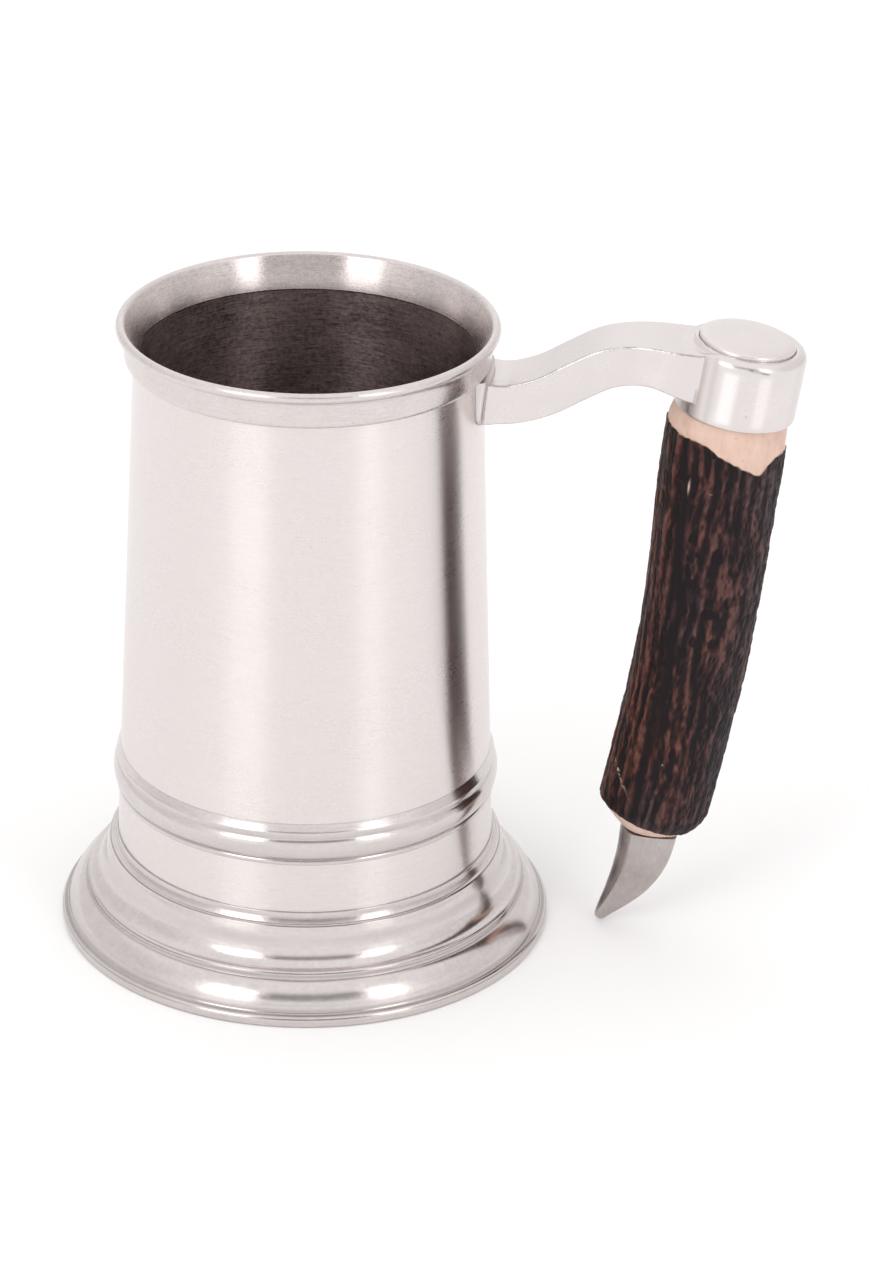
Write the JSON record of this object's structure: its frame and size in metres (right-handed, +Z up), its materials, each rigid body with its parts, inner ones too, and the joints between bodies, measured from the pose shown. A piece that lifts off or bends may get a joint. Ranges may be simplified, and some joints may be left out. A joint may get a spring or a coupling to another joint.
{
  "type": "tankard",
  "caption": "Open pewter tankard with a flared lip, waist bead and spreading foot, and a stag-horn grip with a claw tip hung from a cast S-shaped arm.",
  "frame": {"origin": "on the table, under the middle of the bounding box; the axis of the cup stands 25.4 mm from it towards -X", "axes": "+Z up along the axis of the cup; +X from the cup towards the grip; Y across the handle plane"},
  "size_m": [0.1586, 0.108, 0.1426],
  "materials": {
    "pewter": "pewter, satin, finely brushed round the body",
    "cast_pewter": "cast pewter, softly polished",
    "steel": "plain steel, hidden inside the handle",
    "claw_metal": "greyer polished white metal",
    "horn": "dark brown stag-horn bark, cream where it is ground bare at both ends"
  },
  "bodies": {
    "root": {"barrel": "pewter", "lip_ring": "pewter", "waist_bead": "pewter", "base_skirt": "pewter", "floor_disc": "pewter", "arm_saddle": "cast_pewter", "handle_arm": "cast_pewter", "boss_cap": "cast_pewter", "horn_grip": "horn", "tie_rod": "steel", "rod_washer": "steel", "rod_nut": "steel", "claw_tip": "claw_metal"}
  },
  "joints": []
}
